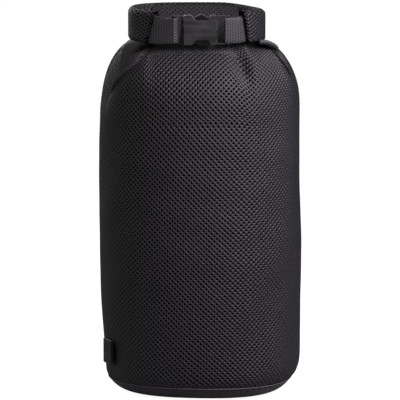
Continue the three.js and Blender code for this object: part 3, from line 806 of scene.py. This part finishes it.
def make_wall(net_tree, material, shade):
    for name, first_around in PANELS.items():
        outer = wall_grid(first_around)
        inner = outer - CLOTH * grid_normals(outer)
        panel = net_sheet(name, outer, inner, material)
        run_nodes(panel, net_tree, material=material, hole_material=shade)
        place_piece(panel, "body_wall")


def make_base(material):
    """Dish with a flat middle and a rounded edge, gathered a little where the seam holds it."""
    half_width, half_depth, shift_x, turn, squareness = section_at(np.array(float(SEAM_Z)))
    columns = BASE_COLUMNS
    around = np.arange(columns) / columns
    rim_z = SEAM_Z - GAP
    reach = math.sqrt(BASE_CORNER**2 - (BASE_CORNER - rim_z) ** 2)
    flat_width, flat_depth = half_width - SEAM_TUCK - reach, half_depth - SEAM_TUCK - reach

    def ring(width, depth, z):
        plan = turned(oval(2 * np.pi * wall_turn(around), width, depth, squareness), turn)
        return np.column_stack((plan[:, 0] + shift_x, plan[:, 1], np.full(columns, z)))

    def skin(inset):
        radius = BASE_CORNER - inset
        rim_angle = math.acos((BASE_CORNER - rim_z) / radius)
        rings = []
        for row in range(BASE_EDGE_ROWS + 1):
            part = 1 - row / BASE_EDGE_ROWS
            angle = rim_angle * part
            pucker = BASE_PUCKER_DEPTH * part**2 * (1 + np.cos(2 * np.pi * BASE_PUCKERS * around))
            out = radius * math.sin(angle)
            points = ring(flat_width + out, flat_depth + out, BASE_CORNER - radius * math.cos(angle))
            rings.append(points - unit(points * (1, 1, 0)) * pucker[:, None])
        for row in range(1, BASE_FLAT_ROWS):
            part = 1 - row / BASE_FLAT_ROWS
            rings.append(ring(flat_width * part, flat_depth * part, inset))
        return rings

    outer, inner = skin(0), skin(CLOTH)
    count = len(outer) * columns
    last = count - columns
    points = np.concatenate((*outer, *inner, [[shift_x, 0, 0], [shift_x, 0, CLOTH]]))
    faces = ring_faces(len(outer), columns) + ring_faces(len(inner), columns, count, True)
    for i in range(columns):
        j = (i + 1) % columns
        faces.append([last + i, 2 * count, last + j])
        faces.append([count + last + i, count + last + j, 2 * count + 1])
        faces.append([i, j, count + j, count + i])
    base = add_piece("base_cloth", points, faces, material)
    place_piece(base, "base_panel")


# Rolled mouth

def ring_frame(distance):
    """Points of the mouth's ring and its outward normals, at distances from the back middle towards +X."""
    share = 0.5 + distance / whole_ring_length

    def place(ring_share):
        return whole_ring_curve(whole_ring_turn(ring_share))

    tangent = unit(place(np.minimum(share + RING_STEP, 1)) - place(np.maximum(share - RING_STEP, 0)))
    return place(share), np.stack((-tangent[..., 1], tangent[..., 0]), axis=-1)


def roll_section():
    """Middle line of the roll's cloth: up its inner side, over its top, down outside and up its core."""
    top_radius = (ROLL_OUTER - ROLL_INNER) / 2
    low_radius = (ROLL_OUTER - ROLL_CORE) / 2
    top_z = ROLL_TOP - ROLL_LAYER / 2 - top_radius
    low_z = ROLL_BOTTOM + ROLL_LAYER / 2 + low_radius
    return np.vstack((
        [(ROLL_INNER, ROLL_BOTTOM)],
        arc((ROLL_INNER + top_radius, top_z), top_radius, 180, 0),
        arc((ROLL_CORE + low_radius, low_z), low_radius, 0, -180),
        [(ROLL_CORE, top_z)],
    ))


def make_roll(net_tree, material, shade):
    line = roll_section()
    rows = even_count(lengths_along(line)[-1], ROLL_NET_PITCH_UP / 2)
    line = resampled(line, lengths_along(line)[-1] / rows)
    along = unit(np.gradient(line, axis=0))
    outwards = np.stack((-along[:, 1], along[:, 0]), axis=1)
    length = curve_length(ring_curve, ROLL_SAMPLES)
    columns = even_count(length, NET_PITCH_ACROSS / 2)
    share = np.linspace(0, 1, columns + 1)[:, None]
    near_left = 1 - ease(share, 0, ROLL_END_SHARE)
    near_right = ease(share, 1 - ROLL_END_SHARE, 1)
    near_end = 1 - ease(np.minimum(share, 1 - share), 0, ROLL_BULGE_SHARE)

    def skin(offset):
        section = line + outwards * offset
        out, up = section[None, :, 0], section[None, :, 1]
        height = 2 * (up - ROLL_BOTTOM) / (ROLL_TOP - ROLL_BOTTOM) - 1
        left = near_left * (LEFT_END.reach + LEFT_END.slant / 2 * height)
        right = near_right * (RIGHT_END.reach + RIGHT_END.slant / 2 * height)
        place, normal = ring_frame(length * (share - 0.5) + right - left)
        bulge = ROLL_END_BULGE * near_end * ease(out, ROLL_CORE, ROLL_OUTER)
        plan = place + normal * (out + bulge)[..., None]
        z = up + ring_droop(share)
        return np.concatenate((plan, z[..., None]), axis=-1)

    roll = net_sheet("rolled_mesh", skin(ROLL_LAYER / 2), skin(-ROLL_LAYER / 2), material)
    run_nodes(roll, net_tree, hole_drop=ROLL_HOLE_DROP * MM, material=material, hole_material=shade)
    place_piece(roll, "rolled_mouth")


# Webbing

def webbing_piece(name, node, line, across, width, thickness, material):
    """Woven strip along a line, with ribs of knots across both faces. across is its width's direction."""
    line = resampled(line, WEBBING_STEP)
    along = unit(np.gradient(line, axis=0))
    facing = unit(np.cross(across, along))
    run = lengths_along(line)[:, None]
    side = np.linspace(-1, 1, WEBBING_POINTS_ACROSS)
    half = thickness / 2 * (1 - np.abs(side) ** WEBBING_EDGE_POWER) ** 0.5
    stagger = np.pi * np.round(run / WEBBING_RIB_PITCH)
    row = np.cos(np.pi * width * side / WEBBING_KNOT_PITCH + stagger)
    knots = np.cos(2 * np.pi * run / WEBBING_RIB_PITCH) * mix(1, row, WEBBING_KNOT_SHARE)
    rise = half * (1 + WEBBING_RIB_HEIGHT * knots)
    middle = line[:, None, :] + across * (side * width / 2)[None, :, None]
    front = middle + facing[:, None, :] * rise[..., None]
    back = middle - facing[:, None, :] * rise[..., None]
    loop = np.concatenate((front, back[:, -2:0:-1]), axis=1)
    sections, size = loop.shape[:2]
    faces = ring_faces(sections, size)
    faces.append(list(range(size)))
    faces.append(list(range((sections - 1) * size, sections * size))[::-1])
    piece = add_piece(name, loop.reshape(-1, 3), faces, material)
    turn_outwards(piece)
    # Knot height mark for the webbing's material, whose valleys get painted shade.
    height = np.concatenate((knots, knots[:, -2:0:-1]), axis=1) / 2 + 0.5
    piece.data.attributes.new("knot", "FLOAT", "POINT").data.foreach_set("value", height.ravel())
    place_piece(piece, node)


def bar_wrap(strap):
    """Middle line of webbing round the buckle's flat bar, from behind it to its front."""
    depth = BAR_HALF_DEPTH + GAP + WEBBING_THICKNESS / 2
    turn_x = strap.bar_x - strap.side * (strap.bar_half + GAP + WEBBING_THICKNESS / 2)
    quarter = strap.side * 90
    back_centre = (turn_x + strap.side * strap.back_radius, BUCKLE_Y + depth - strap.back_radius)
    front_y = BUCKLE_Y - max(depth - strap.front_radius, 0)
    front_centre = (turn_x + strap.side * strap.front_radius, front_y)
    behind = arc(back_centre, strap.back_radius, 90, 90 + quarter, WRAP_STEPS)
    before = arc(front_centre, strap.front_radius, 90 + quarter, 90 + 2 * quarter, WRAP_STEPS)
    return [*behind, *before]


def make_strap(strap, material):
    """Strap from the roll's end round the buckle's bar and back, where it ends lower."""
    roll_end = curve_length(ring_curve, CURVE_SAMPLES) / 2

    def ring_at(past_end, layer):
        place, normal = ring_frame(np.array(strap.side * (roll_end + past_end)))
        return place + normal * (ROLL_WEBBING + layer)

    end_x = abs(ring_at(0, 0)[0])
    free = end_x - abs(strap.bar_x) - strap.bar_half
    corners = [ring_at(past_end, 0) for past_end in (-WEBBING_IN_ROLL, -WEBBING_IN_ROLL / 2, 0)]
    corners += [ring_at(part * free, 0) for part in BACK_LAYER_SHARES]
    corners += bar_wrap(strap)
    corners += [ring_at(part * free, WEBBING_THICKNESS + GAP) for part in FRONT_LAYER_SHARES]
    line = smooth_line(np.array(corners))
    from_middle = np.abs(line[:, 0])
    slope = np.clip((from_middle - WEBBING_SLOPE_FROM) / (end_x - WEBBING_SLOPE_FROM), 0, 1)
    run = lengths_along(line)
    lower = strap.drop * ease(run, run[np.argmin(from_middle)], run[-1])
    z = mix(BUCKLE_Z, WEBBING_Z_IN_ROLL, slope**WEBBING_SLOPE_POWER) - lower
    line = np.column_stack((line, z))
    webbing_piece(strap.node + "_webbing", strap.node, line, UP, WEBBING_WIDTH, WEBBING_THICKNESS, material)


def make_tab(material):
    """Short loop of webbing that hangs flat on the wall."""
    height = np.array(float(TAB_HIGH_Z))
    first, middle, last = (outline(np.array(TAB_AROUND + step), height, 0)
                           for step in (-TAB_AROUND_STEP, 0, TAB_AROUND_STEP))
    along = np.append(unit(last - first), 0)
    outwards = np.cross(along, UP)
    layer = TAB_STAND_OFF + TAB_THICKNESS / 2
    loop_z = TAB_LOW_Z + TAB_LOOP_RADIUS + TAB_THICKNESS / 2
    section = np.vstack((
        [(layer, TAB_HIGH_Z)],
        arc((layer + TAB_LOOP_RADIUS, loop_z), TAB_LOOP_RADIUS, -180, 0),
        [(layer + 2 * TAB_LOOP_RADIUS, TAB_HIGH_Z)],
    ))
    line = np.append(middle, 0) + section[:, :1] * outwards + section[:, 1:] * UP
    webbing_piece("tab_webbing", "side_tab", line, along, TAB_WIDTH, TAB_THICKNESS, material)


# Buckle

def make_moulding(name, node, material):
    """The buckle half's form with its edges rounded off."""
    work = bmesh.new()
    work.from_mesh(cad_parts[node].data)
    bmesh.ops.remove_doubles(work, verts=work.verts, dist=SAME_POINT * MM)
    bmesh.ops.dissolve_limit(work, angle_limit=FLAT_ANGLE, verts=work.verts, edges=work.edges)
    mesh = bpy.data.meshes.new(name)
    work.to_mesh(mesh)
    work.free()
    mesh.materials.clear()
    mesh.materials.append(material)
    piece = add_object(name, mesh)
    bevel = piece.modifiers.new("rounded edges", "BEVEL")
    bevel.width = PLASTIC_EDGE * MM
    bevel.segments = PLASTIC_EDGE_STEPS
    bevel.limit_method = "ANGLE"
    bevel.angle_limit = PLASTIC_EDGE_ANGLE
    bake_modifiers(piece)
    place_piece(piece, node)


# Seam and fold edges

def make_seam_tree():
    """A welt along a line, with stitches lying on it."""
    tree, given = new_geometry_tree("sewn_seam", {
        "Welt Radius": WELT_RADIUS * MM,
        "Stitch Pitch": STITCH_PITCH * MM,
        "Stitch Length": STITCH_LENGTH * MM,
        "Stitch Radius": STITCH_RADIUS * MM,
        "Material": None,
    })
    curve = add_node(tree, "GeometryNodeMeshToCurve", {"Mesh": given["Geometry"]}).outputs[0]
    profile = add_node(tree, "GeometryNodeCurvePrimitiveCircle",
                       {"Resolution": WELT_SIDES, "Radius": given["Welt Radius"]})
    welt = add_node(tree, "GeometryNodeCurveToMesh",
                    {"Curve": curve, "Profile Curve": profile.outputs[0], "Fill Caps": True})
    points = add_node(tree, "GeometryNodeCurveToPoints",
                      {"Curve": curve, "Length": given["Stitch Pitch"]}, mode="LENGTH")
    ball = add_node(tree, "GeometryNodeMeshUVSphere",
                    {"Segments": STITCH_SIDES, "Rings": STITCH_RINGS, "Radius": 1.0})
    half = times(tree, given["Stitch Length"], 0.5)
    size = add_node(tree, "ShaderNodeCombineXYZ",
                    {"X": given["Stitch Radius"], "Y": given["Stitch Radius"], "Z": half})
    stitches = add_node(tree, "GeometryNodeInstanceOnPoints", {
        "Points": points.outputs["Points"], "Instance": ball.outputs["Mesh"],
        "Rotation": points.outputs["Rotation"], "Scale": size.outputs[0]})
    both = add_node(tree, "GeometryNodeJoinGeometry")
    for part in (welt, stitches):
        tree.links.new(part.outputs[0], both.inputs[0])
    smooth = add_node(tree, "GeometryNodeSetShadeSmooth", {"Geometry": both.outputs[0]})
    end_tree(tree, smooth.outputs[0], (given["Material"], True))
    return tree


def make_base_seam(seam_tree, material):
    around = np.linspace(0, 1, SEAM_POINTS, endpoint=False)
    rim = outline(around, np.full(SEAM_POINTS, float(SEAM_Z)), SEAM_TUCK)
    line = np.column_stack((rim, np.full(SEAM_POINTS, SEAM_Z - GAP / 2)))
    edges = [(i, (i + 1) % SEAM_POINTS) for i in range(SEAM_POINTS)]
    mesh = bpy.data.meshes.new("base_seam")
    mesh.from_pydata((line * MM).tolist(), edges, [])
    seam = add_object("base_seam", mesh)
    run_nodes(seam, seam_tree, material=material)
    place_piece(seam)


def add_tube(name, line, radius, material):
    """A round tube along a line, with its radius at each point."""
    along = unit(np.gradient(line, axis=0))
    side = unit(np.cross(along, UP))
    above = np.cross(side, along)
    angles = 2 * np.pi * np.arange(TUBE_SIDES) / TUBE_SIDES
    circle = np.cos(angles)[None, :, None] * side[:, None] + np.sin(angles)[None, :, None] * above[:, None]
    rings = line[:, None] + circle * radius[:, None, None]
    last = (len(line) - 1) * TUBE_SIDES
    ends = [list(range(TUBE_SIDES)), list(range(last, last + TUBE_SIDES))]
    faces = ends + ring_faces(len(line), TUBE_SIDES, turn_round=True)
    tube = add_piece(name, rings.reshape(-1, 3), faces, material)
    turn_outwards(tube)
    return tube


def make_fold_edges(material):
    """The rounded edge of the cloth that lies on top at each pleat."""
    for name, pleat in zip(("fold_edge_left", "fold_edge_right"), PLEATS):
        along = np.linspace(FOLD_EDGE_FROM, 1, FOLD_EDGE_POINTS)
        around = mix(pleat.low_around, pleat.high_around, along) + pleat.side * PLEAT_EDGE / WALL_GIRTH
        line = wall_points_at(around, mix(pleat.low_z, pleat.high_z, along))
        tube = add_tube(name, line, FOLD_EDGE_RADIUS * ease(along, 0, FOLD_EDGE_FULL), material)
        place_piece(tube)


# Materials

def new_material(name):
    material = bpy.data.materials.new(name)
    material.use_nodes = True
    tree = material.node_tree
    return material, tree, tree.nodes["Principled BSDF"]


def object_place(tree):
    return add_node(tree, "ShaderNodeTexCoord").outputs["Object"]


def attribute(tree, name):
    return add_node(tree, "ShaderNodeAttribute", attribute_name=name).outputs["Fac"]


def noise(tree, place, scale, detail):
    node = add_node(tree, "ShaderNodeTexNoise", {"Vector": place, "Scale": scale, "Detail": detail})
    return node.outputs[0]


def remapped(tree, value, source, target=(0, 1)):
    """A value taken from one range to another."""
    ends = {1: source[0], 2: source[1], 3: target[0], 4: target[1]}
    return add_node(tree, "ShaderNodeMapRange", {"Value": value, **ends}).outputs[0]


def blended(tree, share, first, second):
    """A colour between two others."""
    return add_node(tree, "ShaderNodeMix", {0: share, 6: first, 7: second}, data_type="RGBA").outputs[2]


def shaded(tree, colour, shade):
    """A colour made lighter and darker by a shade value."""
    return add_node(tree, "ShaderNodeVectorMath", {0: colour, 1: shade}, operation="MULTIPLY").outputs[0]


def relief(tree, height, strength, depth):
    bump = {"Height": height, "Strength": strength, "Distance": depth * MM}
    return add_node(tree, "ShaderNodeBump", bump).outputs[0]


def make_yarn_group():
    """Unevenness of dyed yarn: a slow change of shade, and the fuzz of its fibres."""
    tree = bpy.data.node_groups.new("uneven_yarn", "ShaderNodeTree")
    for direction, labels in (("INPUT", ("Patches", "Fibres")), ("OUTPUT", ("Shade", "Fuzz"))):
        for label in labels:
            tree.interface.new_socket(label, in_out=direction, socket_type="NodeSocketFloat")
    given = tree.nodes.new("NodeGroupInput").outputs
    place = object_place(tree)
    patch = noise(tree, place, given["Patches"], PATCH_PATTERN.detail)
    fibre = noise(tree, place, given["Fibres"], FIBRE_PATTERN.detail)
    slow = remapped(tree, patch, PATCH_PATTERN.values, PATCH_PATTERN.shades)
    fine = remapped(tree, fibre, FIBRE_PATTERN.values, FIBRE_PATTERN.shades)
    add_node(tree, "NodeGroupOutput", {0: times(tree, slow, fine), 1: fibre})
    return tree


def new_cloth(cloth, yarn_group):
    """A material with a cloth's fuzz and shine, its colour's socket and the shade of its yarn."""
    material, tree, surface = new_material(cloth.name)
    scales = {"Patches": cloth.patches, "Fibres": cloth.fibres}
    yarn = add_node(tree, "ShaderNodeGroup", scales, node_tree=yarn_group).outputs
    set_inputs(tree, surface, {
        "Roughness": cloth.roughness,
        "Specular IOR Level": cloth.shine,
        "Sheen Weight": cloth.sheen,
        "Normal": relief(tree, yarn["Fuzz"], cloth.fuzz, FUZZ_DEPTH),
    })
    return material, tree, surface.inputs["Base Color"], yarn["Shade"]


def make_spacer_mesh(yarn_group):
    """Strands whose colour darkens into the holes between them, painted shade of the holes' depths."""
    material, tree, colour, shade = new_cloth(SPACER_MESH, yarn_group)
    strand = shaded(tree, STRAND_COLOUR, shade)
    # The depth mark blends the strands' colour into the painted hole shade.
    depth = remapped(tree, attribute(tree, "pit"), HOLE_DARKENS)
    tree.links.new(blended(tree, depth, strand, (*HOLE_SHADE_COLOUR, 1)), colour)
    return material


def make_painted_hole_shade():
    """The dark floor of the holes, painted shade of their depths, each with its own random tone."""
    material, tree, surface = new_material("mesh_depth")
    level = remapped(tree, attribute(tree, "tone"), HOLE_TONES, HOLE_LEVELS)
    set_inputs(tree, surface, {
        "Base Color": shaded(tree, HOLE_SHADE_COLOUR, level),
        "Roughness": HOLE_ROUGHNESS,
        "Specular IOR Level": HOLE_SHINE,
    })
    return material


def make_plain_cloth(cloth, yarn_group):
    material, tree, colour, shade = new_cloth(cloth, yarn_group)
    tree.links.new(shaded(tree, cloth.colour, shade), colour)
    return material


def make_webbing(cloth, yarn_group):
    """Woven strip whose valleys between the knots are coloured darker than the knots: painted shade in the
    valleys.
    """
    material, tree, colour, shade = new_cloth(cloth, yarn_group)
    height = remapped(tree, attribute(tree, "knot"), KNOT_LIGHTENS)
    weave = blended(tree, height, (*WEBBING_VALLEY_SHADE, 1), (*cloth.colour, 1))
    tree.links.new(shaded(tree, weave, shade), colour)
    return material


def make_plastic(plastic):
    """Moulded plastic with a fine grain and slanting smears."""
    material, tree, surface = new_material(plastic.name)
    place = object_place(tree)
    slanting = add_node(tree, "ShaderNodeMapping",
                        {"Vector": place, "Rotation": SMEAR_TURN, "Scale": SMEAR_STRETCH})
    smear = noise(tree, slanting.outputs[0], SMEARS, SMEAR_PATTERN.detail)
    shade = remapped(tree, smear, SMEAR_PATTERN.values, SMEAR_PATTERN.shades)
    gloss = remapped(tree, smear, SMEAR_PATTERN.values, (plastic.smooth, plastic.rough))
    grain = noise(tree, place, GRAINS, GRAIN_DETAIL)
    set_inputs(tree, surface, {
        "Base Color": shaded(tree, plastic.colour, shade),
        "Roughness": gloss,
        "Normal": relief(tree, grain, GRAIN_RELIEF, GRAIN_DEPTH),
    })
    return material


# Stage

def aim(thing, place, target):
    """Puts a camera or a lamp at a place and turns it to its target."""
    thing.location = place
    thing.rotation_euler = (target - place).to_track_quat("-Z", "Y").to_euler()


def add_camera():
    data = bpy.data.cameras.new("camera")
    data.lens = FOCAL_PIXELS / IMAGE_PIXELS * data.sensor_width
    scene.camera = add_object("camera", data)
    aim(scene.camera, CAMERA_PLACE, CAMERA_TARGET)


def add_softbox(softbox):
    data = bpy.data.lights.new(softbox.name, "AREA")
    data.energy = softbox.power
    data.color = softbox.colour
    data.size = softbox.size
    aim(add_object(softbox.name, data), Vector(softbox.place), LIGHT_TARGET)


def add_sky():
    world = bpy.data.worlds.new("studio")
    scene.world = world
    world.use_nodes = True
    tree = world.node_tree
    direction = add_node(tree, "ShaderNodeTexCoord").outputs["Generated"]
    towards = add_node(tree, "ShaderNodeVectorMath", {0: direction, 1: SKY_BRIGHT_SIDE},
                       operation="DOT_PRODUCT")
    strength = remapped(tree, towards.outputs["Value"], SKY_RANGE, SKY_STRENGTHS)
    set_inputs(tree, tree.nodes["Background"], {"Color": WHITE, "Strength": strength})


def add_floor():
    material, tree, surface = new_material("pale_floor")
    seen = add_node(tree, "ShaderNodeLightPath").outputs["Is Camera Ray"]
    set_inputs(tree, surface, {
        "Base Color": (FLOOR_TONE, FLOOR_TONE, FLOOR_TONE, 1),
        "Roughness": FLOOR_ROUGHNESS,
        "Emission Color": WHITE,
        "Emission Strength": times(tree, seen, FLOOR_GLOW),
    })
    sides = ((-1, -1), (1, -1), (1, 1), (-1, 1))
    corners = [(x * FLOOR_HALF, y * FLOOR_HALF, FLOOR_Z) for x, y in sides]
    add_piece("floor", corners, [[0, 1, 2, 3]], material)


add_camera()
add_sky()
for softbox in SOFTBOXES:
    add_softbox(softbox)
add_floor()
scene.view_settings.view_transform = "Standard"

uneven_yarn = make_yarn_group()
spacer_mesh = make_spacer_mesh(uneven_yarn)
mesh_depth = make_painted_hole_shade()
strap_webbing = make_webbing(STRAP_WEBBING, uneven_yarn)

net_tree = make_net_tree()
make_wall(net_tree, spacer_mesh, mesh_depth)
make_base(make_plain_cloth(BASE_CLOTH, uneven_yarn))
make_roll(net_tree, spacer_mesh, mesh_depth)
for strap in STRAPS:
    make_strap(strap, strap_webbing)
make_tab(make_webbing(TAB_WEBBING, uneven_yarn))
make_moulding("socket_moulding", "buckle_socket", make_plastic(SOCKET_PLASTIC))
# The plug's darker plastic is painted shade.
make_moulding("plug_moulding", "buckle_plug", make_plastic(SHADED_PLUG_PLASTIC))
make_base_seam(make_seam_tree(), make_plain_cloth(SEAM_YARN, uneven_yarn))
make_fold_edges(make_plain_cloth(FOLD_YARN, uneven_yarn))
